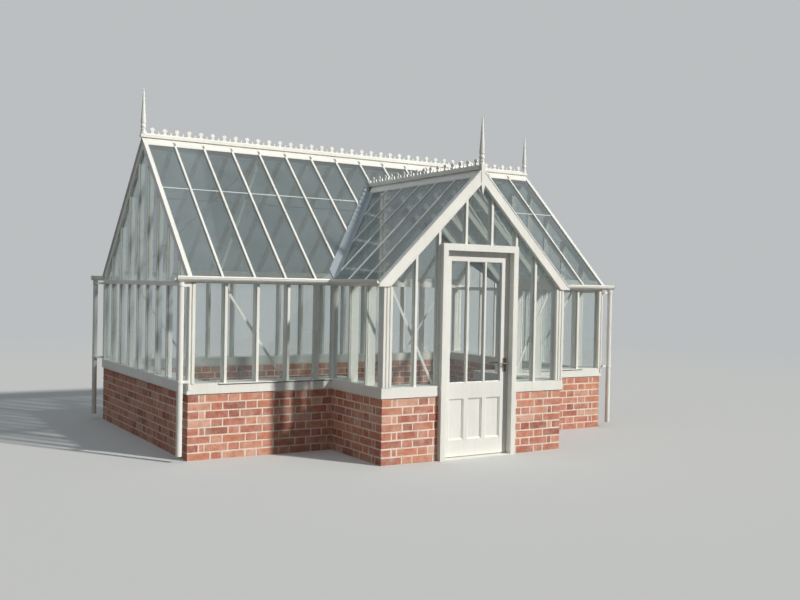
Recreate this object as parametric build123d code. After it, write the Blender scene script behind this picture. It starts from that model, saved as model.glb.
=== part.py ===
from build123d import *
import math
import os

# Glass greenhouse on a low brick wall, with a gabled porch and a half-glazed door.
# +X runs along the ridge, +Y from the porch to the back, +Z up, all in millimetres.
# The origin is on the ground, under the middle of the building's outer box.

# Overall sizes
bay = 312.5
long_bays = 16
end_bay = 330.0
end_bays = 9
porch_width = 2100.0
porch_depth = 960.0
porch_bays = 3

# Brick base and the sill on it
course = 75.0
courses = 8
wall_thick = 215.0
brick_inset = 8.0
sill_height = 95.0
sill_proud = 6.0

# Roof
eave_height = 1667.0
main_pitch = 43.5
porch_pitch = 45.0
eave_lip = 25.0

# Frame sections
post = 60.0
porch_post_face = 95.0
porch_post_depth = 75.0
beam_depth = 60.0
beam_height = 67.0
transom_height = 44.0
transom_drop = 52.0
glass = 6.0
glass_inset = 20.0
glass_gap = 1.0
least_bay = 78.0
bar_width = 25.0
roof_cap_width = 21.0
bar_cap = 12.0
porch_bar_cap = 5.0
bar_web = 8.0
wall_bar_leg = 80.0
end_bar_leg = 42.0
roof_bar_leg = 45.0
rafter_width = 39.0
rafter_cap = 12.0
rafter_leg = 70.0
verge_over = 14.0
ridge_over = 28.0
verge_bite = 6.0

# Ridges, cresting and finials
ridge_beam_width = 40.0
ridge_beam_height = 110.0
ridge_board = 78.0
ridge_board_thick = 8.0
bar_lap = 45.0
ridge_cap_width = 56.0
ridge_cap_height = 30.0
ridge_cap_rise = 37.0
crest_pitch = 131.0
crest_height = 80.0
crest_knob = 44.0
crest_stem = 9.0
crest_strip = 12.0
crest_spike = 32.0
crest_thick = 8.0
finial_height = 472.0
finial_block = 60.0
finial_block_height = 34.0
finial_collar = 12.0
finial_collar_width = 53.0
finial_neck = 98.0
finial_neck_width = 30.0
finial_ball = 54.0
finial_spike_foot = 46.0
finial_spike_tip = 9.0
pendant_height = 240.0
pendant_width = 42.0
pendant_point = 100.0

# Barge boards on the porch gable
barge_depth = 144.0
barge_thick = 25.0
barge_over = 60.0
pendant_proud = 6.0

# Valleys between the two roofs
valley_web = 8.0
valley_beam_width = 40.0
valley_beam_height = 60.0
valley_beam_drop = 10.0
valley_start = 28.0
valley_flash = 62.0
flash_thick = 4.0
flash_gap = 3.0

# Gutters and downpipes
gutter_width = 78.0
gutter_height = 55.0
gutter_wall = 4.0
gutter_foot = 14.0
gutter_lip = 18.0
gutter_dip = 16.0
gutter_drop = 5.0
gutter_back_drop = 22.0
gutter_over = 130.0
pipe_diameter = 54.0
pipe_from_end = 83.0
pipe_foot = 60.0
bracket_height = 24.0
bracket_heights = (705.0, 1565.0)

# Wind braces inside the glass
brace_width = 24.0
brace_thick = 6.0
brace_bays = 4
wall_brace_bays = 3

# Door frame
frame_width = 875.0
frame_height = 2010.0
frame_face = 54.0
head_face = 64.0
frame_proud = 40.0
head_clear = 20.0
door_recess = 75.0
door_gap = 7.0
door_rest_gap = 5.0
door_stop = 13.0
threshold_height = 10.0

# Door leaf
leaf_thick = 40.0
stile_width = 93.0
top_rail = 101.0
mid_rail = 148.0
mid_rail_top = 708.0
bottom_rail = 155.0
door_bar = 20.0
light_count = 3
panel_thick = 12.0
glazing_set = 17.0
muntin = 48.0
panel_count = 3

# Lever handle and hinges
lever_height = 880.0
lever_backset = 46.0
lever_length = 112.0
lever_radius = 7.0
lever_reach = 46.0
hub_radius = 9.0
hub_end = 10.0
hub_gap = 1.0
spindle_radius = 5.0
plate_width = 38.0
plate_height = 130.0
plate_above = 51.0
plate_thick = 6.0
running_fit = 0.08
hinge_heights = (250.0, 980.0, 1710.0)
hinge_radius = 8.0
hinge_pin_radius = 4.0
hinge_knuckle = 40.0
hinge_gap = 0.5
hinge_plate_width = 30.0
hinge_plate_thick = 4.0

# Plan, worked out from the sizes
far = 10000.0
length = bay * long_bays
width = end_bay * end_bays
half_length = length / 2
roof_half = half_length + verge_over
ridge_half = half_length + ridge_over
half_porch = porch_width / 2
front = (porch_depth + frame_proud - width - gutter_width) / 2
back = front + width
ridge_y = front + width / 2
porch_front = front - porch_depth
frame_edge = frame_width / 2

# Slopes, and eaves that stand high enough for the door frame under the barge boards
main_slope = math.tan(math.radians(main_pitch))
porch_slope = math.tan(math.radians(porch_pitch))
main_cos = math.cos(math.radians(main_pitch))
porch_cos = math.cos(math.radians(porch_pitch))
barge_top = rafter_cap / porch_cos
over_door = max(barge_depth - barge_top, (rafter_leg + glass) / porch_cos)
eaves_for_door = frame_height + head_clear + over_door - porch_slope * (half_porch - frame_edge)
eave_level = max(eave_height, eaves_for_door)

# Heights, worked out from the sizes
wall_height = course * courses
sill_top = wall_height + sill_height
beam_bottom = eave_level - beam_height
transom_top = eave_level - transom_drop
transom_bottom = transom_top - transom_height
ridge_height = eave_level + main_slope * width / 2
porch_rise = porch_slope * half_porch
porch_ridge_height = eave_level + porch_rise
half_beam = ridge_beam_width / 2
beam_top = ridge_height - main_slope * half_beam + ridge_board_thick / 2
beam_low = beam_top - ridge_beam_height
porch_beam_top = porch_ridge_height - porch_slope * half_beam + ridge_board_thick / 2
porch_beam_low = porch_beam_top - ridge_beam_height

# Valleys in plan: how far back they run, and how much of that for each millimetre across
valley_run = porch_rise / main_slope
valley_slope = valley_run / half_porch
valley_cos = math.cos(math.atan2(valley_run, half_porch))
valley_end_y = front + valley_run


def block(x0, x1, y0, y1, z0, z1):
    """A square-edged block between two corners."""
    size = Box(x1 - x0, y1 - y0, z1 - z0)
    return Pos((x0 + x1) / 2, (y0 + y1) / 2, (z0 + z1) / 2) * size


def prism(plane, points, depth):
    """An outline on a plane, drawn out by a depth along the plane's normal."""
    return extrude(plane * make_face(Polyline(*points, close=True)), depth)


def along_x(points, x0, x1):
    """A section in Y and Z, drawn out from x0 to x1."""
    plane = Plane(origin=(x0, 0, 0), x_dir=(0, 1, 0), z_dir=(1, 0, 0))
    return prism(plane, points, x1 - x0)


def along_y(points, y0, y1):
    """A section in X and Z, drawn out from y0 to y1."""
    plane = Plane(origin=(0, y1, 0), x_dir=(1, 0, 0), z_dir=(0, -1, 0))
    return prism(plane, points, y1 - y0)


def upright(points, z0, z1):
    """A plan outline, drawn up from z0 to z1."""
    plane = Plane(origin=(0, 0, z0), x_dir=(1, 0, 0), z_dir=(0, 0, 1))
    return prism(plane, points, z1 - z0)


def mirrored_x(shapes):
    """The same shapes on the other side of the building's middle."""
    return [mirror(shape, about=Plane.YZ) for shape in shapes]


def both_ends(shapes):
    """The shapes and their mirror images across the building's middle."""
    return list(shapes) + mirrored_x(shapes)


def to_back(shapes):
    """The same shapes mirrored to the other side of the main ridge."""
    plane = Plane(origin=(0, ridge_y, 0), z_dir=(0, 1, 0))
    return [mirror(shape, about=plane) for shape in shapes]


def save(node, shapes):
    """Writes one named sub-part, whose solids may be several like pieces."""
    solids = [solid for shape in shapes for solid in shape.solids()]
    whole = solids[0] if len(solids) == 1 else Compound(solids)
    export_step(whole, f"parts/{node}.step")


def main_z(y, up=0.0):
    """Height of the main front slope at y, moved out along its normal by up."""
    return eave_level + (y - front) * main_slope + up / main_cos


def porch_z(x, up=0.0):
    """Height of the left porch slope at x, moved out along its normal by up."""
    return eave_level + (x + half_porch) * porch_slope + up / porch_cos


def main_strip(x0, x1, y0, y1, low, high):
    """A strip on the main front slope with plumb ends, low to high off the glass."""
    points = [
        (y0, main_z(y0, low)), (y1, main_z(y1, low)),
        (y1, main_z(y1, high)), (y0, main_z(y0, high)),
    ]
    return along_x(points, x0, x1)


def porch_strip(x0, x1, y0, y1, low, high):
    """A strip on the left porch slope with plumb ends, low to high off the glass."""
    points = [
        (x0, porch_z(x0, low)), (x1, porch_z(x1, low)),
        (x1, porch_z(x1, high)), (x0, porch_z(x0, high)),
    ]
    return along_y(points, y0, y1)


def porch_zone(shift):
    """All that stands over the porch, its valley lines moved back by shift in plan."""
    step = shift / valley_cos
    side_y = front - valley_slope * (far - half_porch) + step
    points = [
        (-far, front - far), (-far, side_y), (0, valley_end_y + step), (far, side_y), (far, front - far),
    ]
    return upright(points, 0, far)


def pane_edges(start, centres, stop):
    """Left and right edges of the panes that stand between two posts."""
    half = bar_web / 2 + glass_gap
    lefts = [start] + [centre + half for centre in centres]
    rights = [centre - half for centre in centres] + [stop]
    return list(zip(lefts, rights))


os.makedirs("parts", exist_ok=True)

# Brick walls, one brick thick, butted at the corners
brick_in = brick_inset + wall_thick
outer_x = -half_length + brick_inset
inner_x = -half_length + brick_in
save("back_wall", [block(outer_x, -outer_x, back - brick_in, back - brick_inset, 0, wall_height)])
left_end = block(outer_x, inner_x, front + brick_in, back - brick_in, 0, wall_height)
save("end_walls", both_ends([left_end]))
porch_out_x = -half_porch + brick_inset
porch_in_x = -half_porch + brick_in
front_left = block(outer_x, porch_out_x, front + brick_inset, front + brick_in, 0, wall_height)
save("front_walls", both_ends([front_left]))
porch_y0 = porch_front + brick_inset
porch_y1 = porch_front + brick_in
porch_side = block(porch_out_x, porch_in_x, porch_y0, front + brick_in, 0, wall_height)
porch_face = block(porch_in_x, -frame_edge, porch_y0, porch_y1, 0, wall_height)
save("porch_walls", both_ends([porch_side, porch_face]))


def sill(x0, x1, y0, y1):
    """A sill on the brickwork, over its full thickness."""
    return block(x0, x1, y0, y1, wall_height, sill_top)


# Sills, standing a little proud of the walls on both faces
sill_in = brick_in + sill_proud
sill_x0 = -half_length - sill_proud
sill_x1 = -half_length + sill_in
porch_sill_x0 = -half_porch - sill_proud
porch_sill_x1 = -half_porch + sill_in
front_sill = sill(sill_x0, porch_sill_x0, front - sill_proud, front + sill_in)
back_sill = sill(sill_x0, -sill_x0, back - sill_in, back + sill_proud)
end_sill = sill(sill_x0, sill_x1, front + sill_in, back - sill_in)
save("house_sills", both_ends([front_sill, end_sill]) + [back_sill])
porch_side_sill = sill(porch_sill_x0, porch_sill_x1, porch_front - sill_proud, front + sill_in)
porch_front_sill = sill(porch_sill_x1, -frame_edge, porch_front - sill_proud, porch_front + sill_in)
save("porch_sills", both_ends([porch_side_sill, porch_front_sill]))

# Posts at the outer corners, the porch's corners and the inner corners
corner_x1 = -half_length + post
corner = block(-half_length, corner_x1, front, front + post, sill_top, beam_bottom)
inner_top = eave_level - glass / min(main_cos, porch_cos)
inner = block(-half_porch, -half_porch + post, front, front + post, sill_top, inner_top)
post_edge = -half_porch + porch_post_face
porch_post_back = porch_front + porch_post_depth
porch_corner = block(-half_porch, post_edge, porch_front, porch_post_back, sill_top, beam_bottom)
save("posts", both_ends([corner, inner, porch_corner] + to_back([corner])))


def wall_bar(leg, z0, z1):
    """An upright glazing bar, its glass line on y = 0 and its cap towards -Y."""
    half = bar_width / 2
    web = bar_web / 2
    points = [
        (-half, -bar_cap), (half, -bar_cap), (half, 0), (web, 0),
        (web, glass), (half, glass), (half, glass + leg), (-half, glass + leg),
        (-half, glass), (-web, glass), (-web, 0), (-half, 0),
    ]
    return upright(points, z0, z1)


# Glazing bars of the front and back walls. The front's panes start whole at the corner posts,
# and no bar stands nearer to the porch than the least bay.
all_bar_xs = [-half_length + bay * step for step in range(1, long_bays)]
last_front_x = -half_porch - least_bay
whole_pane = post - bar_width / 2
front_bar_xs = [x + whole_pane for x in all_bar_xs if x + whole_pane < last_front_x]
glass_y = front + glass_inset
front_bars = [Pos(x, glass_y, 0) * wall_bar(wall_bar_leg, sill_top, beam_bottom) for x in front_bar_xs]
back_bars = [Pos(x, glass_y, 0) * wall_bar(wall_bar_leg, sill_top, beam_bottom) for x in all_bar_xs]
save("front_wall_bars", both_ends(front_bars))
save("back_wall_bars", to_back(back_bars))


def front_pane(edges):
    """A pane of the front wall between two edges."""
    return block(*edges, glass_y, glass_y + glass, sill_top, beam_bottom)


front_panes = [front_pane(edges) for edges in pane_edges(corner_x1, front_bar_xs, -half_porch)]
back_panes = [front_pane(edges) for edges in pane_edges(corner_x1, all_bar_xs, -corner_x1)]
save("front_wall_glass", both_ends(front_panes))
save("back_wall_glass", to_back(back_panes))

# Eaves beams, their tops cut to the slope of the glass that lies on them
beam_back = front + beam_depth
beam_section = [
    (front, beam_bottom), (beam_back, beam_bottom),
    (beam_back, main_z(beam_back, -glass)), (front, main_z(front, -glass)),
]
front_beam = along_x(beam_section, -half_length, -half_porch)
back_beam = to_back([along_x(beam_section, -half_length, half_length)])
save("eaves_beams", both_ends([front_beam]) + back_beam)
porch_beam_in = -half_porch + beam_depth
porch_beam_section = [
    (-half_porch, beam_bottom), (porch_beam_in, beam_bottom),
    (porch_beam_in, porch_z(porch_beam_in, -glass)), (-half_porch, porch_z(-half_porch, -glass)),
]
save("porch_eaves_beams", both_ends([along_y(porch_beam_section, porch_front, front)]))

# End walls: transom, bars below and above it, and the panes, cut to the rafters
end_glass_x = -half_length + glass_inset
rafter_low = -glass - rafter_leg
transom = block(-half_length, corner_x1, front + post, back - post, transom_bottom, transom_top)
save("end_transoms", both_ends([transom]))
end_bar_ys = [front + end_bay * step for step in range(1, end_bays)]
under_rafters = along_x(
    [
        (front, 0), (back, 0), (back, main_z(front, rafter_low)),
        (ridge_y, main_z(ridge_y, rafter_low)), (front, main_z(front, rafter_low)),
    ],
    -far, 0,
)
end_bars = []
for y in end_bar_ys:
    turned = Pos(end_glass_x, y, 0) * Rot(0, 0, -90)
    end_bars.append(turned * wall_bar(end_bar_leg, sill_top, transom_bottom))
    end_bars.append((turned * wall_bar(end_bar_leg, transom_top, beam_low)) & under_rafters)
save("end_wall_bars", both_ends(end_bars))
end_panes = []
for low, high in pane_edges(front + post, end_bar_ys, back - post):
    end_panes.append(block(end_glass_x, end_glass_x + glass, low, high, sill_top, transom_bottom))
    upper = block(end_glass_x, end_glass_x + glass, low, high, transom_top, beam_low)
    end_panes.append(upper & under_rafters)
save("end_wall_glass", both_ends(end_panes))

# Porch side walls
side_glass_x = -half_porch + glass_inset
porch_bay = porch_depth / porch_bays
side_bar_ys = [porch_front + porch_bay * step for step in range(1, porch_bays)]
side_bars = []
for y in side_bar_ys:
    turned = Pos(side_glass_x, y, 0) * Rot(0, 0, -90)
    side_bars.append(turned * wall_bar(wall_bar_leg, sill_top, beam_bottom))
porch_panes = []
for low, high in pane_edges(porch_post_back, side_bar_ys, front):
    porch_panes.append(block(side_glass_x, side_glass_x + glass, low, high, sill_top, beam_bottom))

# Porch front, with three lights over the door, its bars and panes cut to the porch rafters
under_porch = along_y(
    [
        (-half_porch, 0), (half_porch, 0), (half_porch, porch_z(-half_porch, rafter_low)),
        (0, porch_z(0, rafter_low)), (-half_porch, porch_z(-half_porch, rafter_low)),
    ],
    -far, far,
)
face_glass_y = porch_front + glass_inset
jamb_bar_x = -frame_edge - bar_width / 2
side_light_x = (post_edge - frame_edge) / 2
over_bar_x = jamb_bar_x / 3
face_bars = []
for x, z0 in ((jamb_bar_x, sill_top), (side_light_x, sill_top), (over_bar_x, frame_height)):
    bar = Pos(x, face_glass_y, 0) * wall_bar(end_bar_leg, z0, porch_beam_low)
    face_bars.append(bar & under_porch)
save("porch_wall_bars", both_ends(side_bars + face_bars))


def face_pane(edges, z0):
    """A pane of the porch front from z0 up to the rafters."""
    pane = block(*edges, face_glass_y, face_glass_y + glass, z0, porch_beam_low)
    return pane & under_porch


side_lights = pane_edges(post_edge, [side_light_x, jamb_bar_x], 0)[:-1]
over_left, over_middle = pane_edges(0, [jamb_bar_x, over_bar_x, -over_bar_x], 0)[1:-1]
porch_panes += [face_pane(edges, sill_top) for edges in side_lights]
porch_panes.append(face_pane(over_left, frame_height))
save("porch_wall_glass", both_ends(porch_panes) + [face_pane(over_middle, frame_height)])

# Main roof bars: a cap over the glass, a web between the panes and a leg inside
leg_low = -glass - roof_bar_leg
eave_edge = front - eave_lip
ridge_face = ridge_y - half_beam
board_edge = ridge_y - ridge_board
over_porch_legs = porch_zone(valley_beam_width / 2)
over_porch_caps = porch_zone(valley_flash)
over_porch_webs = porch_zone(valley_web / 2)
half_bar = bar_width / 2
half_roof_cap = roof_cap_width / 2
half_web = bar_web / 2


def roof_bar(x):
    """Cap, web and leg of one bar of the main front slope, its cap lapping onto the ridge board."""
    cap = main_strip(x - half_roof_cap, x + half_roof_cap, eave_edge, board_edge, 0, bar_cap)
    lap_end = board_edge + bar_lap
    lap = main_strip(x - half_roof_cap, x + half_roof_cap, board_edge, lap_end, ridge_board_thick, bar_cap)
    cap += lap
    web = main_strip(x - half_web, x + half_web, eave_edge, ridge_face, -glass, 0)
    leg = main_strip(x - half_bar, x + half_bar, beam_back, ridge_face, leg_low, -glass)
    return cap, web, leg


front_roof_bars = []
back_roof_bars = []
for x in all_bar_xs:
    cap, web, leg = roof_bar(x)
    back_roof_bars.append(cap + web + leg)
    if abs(x) < half_porch + valley_flash:
        cap = cap - over_porch_caps
        web = web - over_porch_webs
        leg = leg - over_porch_legs
    front_roof_bars.append(cap + web + leg)
save("front_roof_bars", front_roof_bars)
save("back_roof_bars", to_back(back_roof_bars))

# Roof glass in the same bays
front_roof_panes = []
back_roof_panes = []
verge_inside = rafter_width - roof_half
verge_glass = verge_inside - verge_bite
for left, right in pane_edges(verge_glass, all_bar_xs, -verge_glass):
    pane = main_strip(left, right, eave_edge, ridge_face, -glass, 0)
    back_roof_panes.append(pane)
    if min(abs(left), abs(right)) < half_porch + valley_web:
        pane = pane - over_porch_webs
    front_roof_panes.append(pane)
save("front_roof_glass", front_roof_panes)
save("back_roof_glass", to_back(back_roof_panes))

# End rafters of the main roof and of the porch
rafter_inside = rafter_width - half_length
end_rafter = main_strip(-roof_half, verge_inside, eave_edge, board_edge, 0, rafter_cap)
end_rafter += main_strip(-half_length, verge_glass, eave_edge, ridge_face, -glass, 0)
end_rafter += main_strip(-half_length, rafter_inside, beam_back, ridge_face, rafter_low, -glass)
porch_eave_edge = -half_porch - eave_lip
porch_rafter_y = porch_front + rafter_width
porch_rafter = porch_strip(porch_eave_edge, -ridge_board, porch_front, porch_rafter_y, 0, rafter_cap)
porch_rafter += porch_strip(porch_eave_edge, -half_beam, porch_front, porch_rafter_y, -glass, 0)
porch_rafter += porch_strip(porch_beam_in, -half_beam, porch_front, porch_rafter_y, rafter_low, 0)
save("end_rafters", both_ends([end_rafter] + to_back([end_rafter]) + [porch_rafter]))

# Porch roof bars and glass, those behind the front wall ending on the valleys
on_porch_legs = porch_zone(-valley_beam_width / 2)
on_porch_caps = porch_zone(-valley_flash)
on_porch_webs = porch_zone(-valley_web / 2)
flash_end_y = valley_end_y - valley_slope * ridge_board - valley_flash / valley_cos
porch_bar_count = math.floor((flash_end_y - bar_width - porch_front) / porch_bay)
porch_bar_ys = [porch_front + porch_bay * step for step in range(1, porch_bar_count + 1)]
porch_roof_bars = []
for y in porch_bar_ys:
    cap = porch_strip(porch_eave_edge, -ridge_board, y - half_roof_cap, y + half_roof_cap, 0, porch_bar_cap)
    web = porch_strip(porch_eave_edge, -half_beam, y - half_web, y + half_web, -glass, 0)
    leg = porch_strip(porch_beam_in, -half_beam, y - half_bar, y + half_bar, leg_low, -glass)
    if y > front - valley_flash:
        cap = cap & on_porch_caps
        web = web & on_porch_webs
        leg = leg & on_porch_legs
    porch_roof_bars.append(cap + web + leg)
save("porch_roof_bars", both_ends(porch_roof_bars))
porch_roof_panes = []
for low, high in pane_edges(porch_rafter_y, porch_bar_ys, valley_end_y):
    pane = porch_strip(porch_eave_edge, -half_beam, low, high, -glass, 0)
    if high > front - valley_web:
        pane = pane & on_porch_webs
    porch_roof_panes.append(pane)
save("porch_roof_glass", both_ends(porch_roof_panes))

# Valley rafters, each with a web between the panes and a flashing on both roofs
valley_length = math.hypot(half_porch, valley_run)
valley_climb = porch_rise / valley_length
valley_plane = Plane(
    origin=(-half_porch, front, eave_level),
    x_dir=(half_porch, valley_run, 0),
    z_dir=(valley_run, -half_porch, 0),
)


def valley_plate(thick, top, bottom):
    """A plate in the valley's vertical plane, its top and bottom counted from the valley line."""
    start_z = valley_start * valley_climb
    points = [
        (valley_start, start_z + bottom), (valley_length, porch_rise + bottom),
        (valley_length, porch_rise + top), (valley_start, start_z + top),
    ]
    return prism(valley_plane.offset(-thick / 2), points, thick)


left_of_ridge = block(-far, -half_beam, -far, far, 0, far)
left_of_board = block(-far, -ridge_board - flash_gap, -far, far, 0, far)
flash_main = main_strip(-half_porch, 0, front, ridge_y, 0, flash_thick)
flash_main = flash_main & porch_zone(valley_flash)
flash_main = (flash_main - porch_zone(0)) & left_of_board
flash_porch = porch_strip(-half_porch, 0, front, valley_end_y, 0, flash_thick)
flash_porch = (flash_porch & porch_zone(0)) - porch_zone(-valley_flash)
flash_porch = flash_porch & left_of_board
valley_beam_low = -valley_beam_drop - valley_beam_height
upstand = valley_plate(valley_web, 0, -valley_beam_drop - valley_beam_height / 2) & left_of_ridge
upstand += valley_plate(valley_web, flash_thick / 2, -flash_thick) & left_of_board
valley_rafter = valley_plate(valley_beam_width, -valley_beam_drop, valley_beam_low) & left_of_ridge
valley_rafter = valley_rafter - inner
valley = (flash_main + flash_porch + upstand + valley_rafter) - inner
save("valleys", both_ends([valley]))

# Ridges: a beam, a board down each slope and a cap
boards = main_strip(-roof_half, roof_half, board_edge, ridge_y, 0, ridge_board_thick)
half_cap = ridge_cap_width / 2
cap_top = ridge_height + ridge_cap_rise
cap_low = cap_top - ridge_cap_height
ridge = boards + to_back([boards])[0]
ridge += block(-half_length, half_length, ridge_face, ridge_y + half_beam, beam_low, beam_top)
ridge += block(-ridge_half, ridge_half, ridge_y - half_cap, ridge_y + half_cap, cap_low, cap_top)
save("ridge", [ridge])
porch_board = porch_strip(-ridge_board, 0, porch_front, valley_end_y, 0, ridge_board_thick)
porch_board = porch_board & porch_zone(0)
porch_beam_end = valley_end_y - ridge_beam_width
porch_cap_top = porch_ridge_height + ridge_cap_rise
porch_cap_low = porch_cap_top - ridge_cap_height
under_main = along_x(
    [(front, main_z(front)), (ridge_y, ridge_height), (ridge_y, 0), (front, 0)],
    -far, far,
)
porch_ridge = porch_board + mirrored_x([porch_board])[0]
porch_ridge += block(-half_beam, half_beam, porch_front, porch_beam_end, porch_beam_low, porch_beam_top)
porch_ridge += block(-half_cap, half_cap, porch_front, ridge_y, porch_cap_low, porch_cap_top) - under_main
save("porch_ridge", [porch_ridge])


def cresting(total, base):
    """A strip from 0 to total, with a knob in the middle of each step and spikes between."""
    steps = round(total / crest_pitch)
    step = total / steps
    knob_z = base + crest_height - crest_knob / 2
    outline = Pos(total / 2, base + crest_strip / 2) * Rectangle(total, crest_strip)
    for index in range(steps):
        middle = step * (index + 0.5)
        outline += Pos(middle, (base + knob_z) / 2) * Rectangle(crest_stem, knob_z - base)
        outline += Pos(middle, knob_z) * Circle(crest_knob / 2)
        if index:
            outline += Pos(step * index, base + crest_spike / 2) * Rectangle(crest_stem, crest_spike)
    return outline


# Cresting along both ridges
crest_run = 2 * (ridge_half - finial_block)
crest_plane = Plane(
    origin=(-crest_run / 2, ridge_y + crest_thick / 2, 0), x_dir=(1, 0, 0), z_dir=(0, -1, 0),
)
main_crest = extrude(crest_plane * cresting(crest_run, cap_top), crest_thick)
pendant_front = porch_front - barge_thick - pendant_proud
porch_finial_y = pendant_front + finial_block / 2
porch_crest_start = pendant_front + finial_block
porch_crest_end = front + (porch_cap_top - eave_level) / main_slope
porch_crest_plane = Plane(
    origin=(-crest_thick / 2, porch_crest_start, 0), x_dir=(0, 1, 0), z_dir=(1, 0, 0),
)
porch_crest_run = porch_crest_end - porch_crest_start
porch_crest = extrude(porch_crest_plane * cresting(porch_crest_run, porch_cap_top), crest_thick)
save("cresting", [main_crest, porch_crest])


def finial(x, y, base):
    """A block, a neck with a ball between two collars, and a long tapered spike."""
    block_top = base + finial_block_height
    spike_foot = block_top + finial_neck
    spike = base + finial_height - spike_foot
    middle = Pos(x, y, block_top + finial_neck / 2)
    collar = Cylinder(finial_collar_width / 2, finial_collar)
    shape = Pos(x, y, base + finial_block_height / 2) * Box(finial_block, finial_block, finial_block_height)
    shape += middle * Cylinder(finial_neck_width / 2, finial_neck)
    shape += middle * Sphere(finial_ball / 2)
    shape += Pos(x, y, block_top) * collar
    shape += Pos(x, y, spike_foot) * collar
    shape += Pos(x, y, spike_foot + spike / 2) * Cone(finial_spike_foot / 2, finial_spike_tip / 2, spike)
    return shape


# Finials on the main ridge's ends and on the porch gable, which has a pendant
finial_x = -ridge_half + finial_block / 2
save("ridge_finials", both_ends([finial(finial_x, ridge_y, cap_top)]))
half_pendant = pendant_width / 2
pendant_low = porch_ridge_height - pendant_height
pendant_top = porch_cap_top + finial_block_height / 2
pendant = along_y(
    [
        (-half_pendant, pendant_top), (-half_pendant, pendant_low + pendant_point), (0, pendant_low),
        (half_pendant, pendant_low + pendant_point), (half_pendant, pendant_top),
    ],
    pendant_front, porch_front,
)
save("porch_finial", [finial(0, porch_finial_y, porch_cap_top) + pendant])

# Barge boards, butted against the pendant and cut level with the eaves beams
barge_x = -half_porch - barge_over
inner_foot = -half_porch + (beam_bottom + barge_depth - barge_top - eave_level) / porch_slope
barge_peak = porch_z(-half_pendant) + barge_top
barge = along_y(
    [
        (barge_x, beam_bottom), (inner_foot, beam_bottom), (-half_pendant, barge_peak - barge_depth),
        (-half_pendant, barge_peak), (barge_x, porch_z(barge_x) + barge_top),
    ],
    porch_front - barge_thick, porch_front,
)
save("barge_boards", both_ends([barge]))

gutter_top = eave_level - gutter_drop
gutter_low = gutter_top - gutter_height
gutter_shoulder = gutter_top - gutter_lip


def gutter_section(edge):
    """The gutter's section, its back on the edge and its open side up."""
    back_top = gutter_top - gutter_back_drop
    out = edge - gutter_width
    foot = out + gutter_foot
    wall = gutter_wall
    return [
        (edge, gutter_low), (edge, back_top), (edge - wall, back_top), (edge - wall, gutter_low + wall),
        (foot + wall, gutter_low + wall), (out + wall, gutter_shoulder), (out + wall, gutter_top),
        (out, gutter_top), (out, gutter_shoulder), (foot, gutter_low),
    ]


def gutter_end(edge):
    """The closing plate of a gutter's end, dipped under the edge of the roof."""
    out = edge - gutter_width
    dip = gutter_low + gutter_wall + gutter_dip
    return [
        (edge, gutter_low), (edge, dip), (edge - eave_lip - 2 * gutter_wall, dip),
        (out + gutter_wall, gutter_top), (out, gutter_top), (out, gutter_shoulder),
        (out + gutter_foot, gutter_low),
    ]


# Gutters, mitred at the inner corners
gutter_x = -half_length - gutter_over
mitre = upright(
    [(-half_porch, front), (-half_porch - far, front - far), (far, front - far), (far, front)],
    0, far,
)
front_gutter = along_x(gutter_section(front), gutter_x, -half_porch) - mitre
front_gutter += along_x(gutter_end(front), gutter_x, gutter_x + gutter_wall)
back_gutter = along_x(gutter_section(front), gutter_x, -gutter_x)
for end_x in (gutter_x, -gutter_x - gutter_wall):
    back_gutter += along_x(gutter_end(front), end_x, end_x + gutter_wall)
save("gutters", both_ends([front_gutter]) + to_back([back_gutter]))
porch_gutter = along_y(gutter_section(-half_porch), porch_front, front) & mitre
porch_gutter += along_y(gutter_end(-half_porch), porch_front, porch_front + gutter_wall)
save("porch_gutters", both_ends([porch_gutter]))

# Downpipes under the gutters' overhangs, clipped to the corner posts
pipe_x = -half_length - pipe_from_end
pipe_y = front - gutter_width / 2
pipe_length = gutter_low - pipe_foot
pipe = Pos(pipe_x, pipe_y, pipe_foot + pipe_length / 2) * Cylinder(pipe_diameter / 2, pipe_length)
for z in bracket_heights:
    pipe += block(pipe_x, -half_length, pipe_y, front + bracket_height, z, z + bracket_height)
save("downpipes", both_ends([pipe] + to_back([pipe])))


def brace_half(across, along):
    """Half the brace's width, measured across the building, where it leans by across in along."""
    return brace_width / 2 / math.cos(math.atan2(across, along))


def leaning(x0, x1, y):
    """A flat brace behind upright bars, from x0 at the eaves beam to x1 at the sill."""
    half = brace_half(x1 - x0, beam_bottom - sill_top)
    points = [
        (x0 - half, beam_bottom), (x0 + half, beam_bottom), (x1 + half, sill_top), (x1 - half, sill_top),
    ]
    return along_y(points, y, y + brace_thick)


# Wind braces under the roof bars and behind the wall bars
brace_x0 = -half_length + bay
brace_x1 = -half_length + bay * brace_bays
brace_y0 = beam_back + brace_width
half = brace_half(brace_x1 - brace_x0, (board_edge - brace_y0) / main_cos)
brace_plan = upright(
    [
        (brace_x0 - half, brace_y0), (brace_x0 + half, brace_y0),
        (brace_x1 + half, board_edge), (brace_x1 - half, board_edge),
    ],
    0, far,
)
roof_brace = main_strip(-half_length, 0, brace_y0, board_edge, leg_low - brace_thick, leg_low) & brace_plan
wall_brace_y = glass_y + glass + wall_bar_leg
wall_brace = leaning(front_bar_xs[0], front_bar_xs[wall_brace_bays - 1], wall_brace_y)
back_brace = leaning(all_bar_xs[0], all_bar_xs[wall_brace_bays - 1], wall_brace_y)
porch_brace_y = face_glass_y + glass + end_bar_leg
porch_brace = leaning(post_edge + brace_width, jamb_bar_x - half_bar, porch_brace_y)
front_braces = [roof_brace, wall_brace, porch_brace]
save("wind_braces", both_ends(front_braces + to_back([roof_brace, back_brace])))

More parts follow.
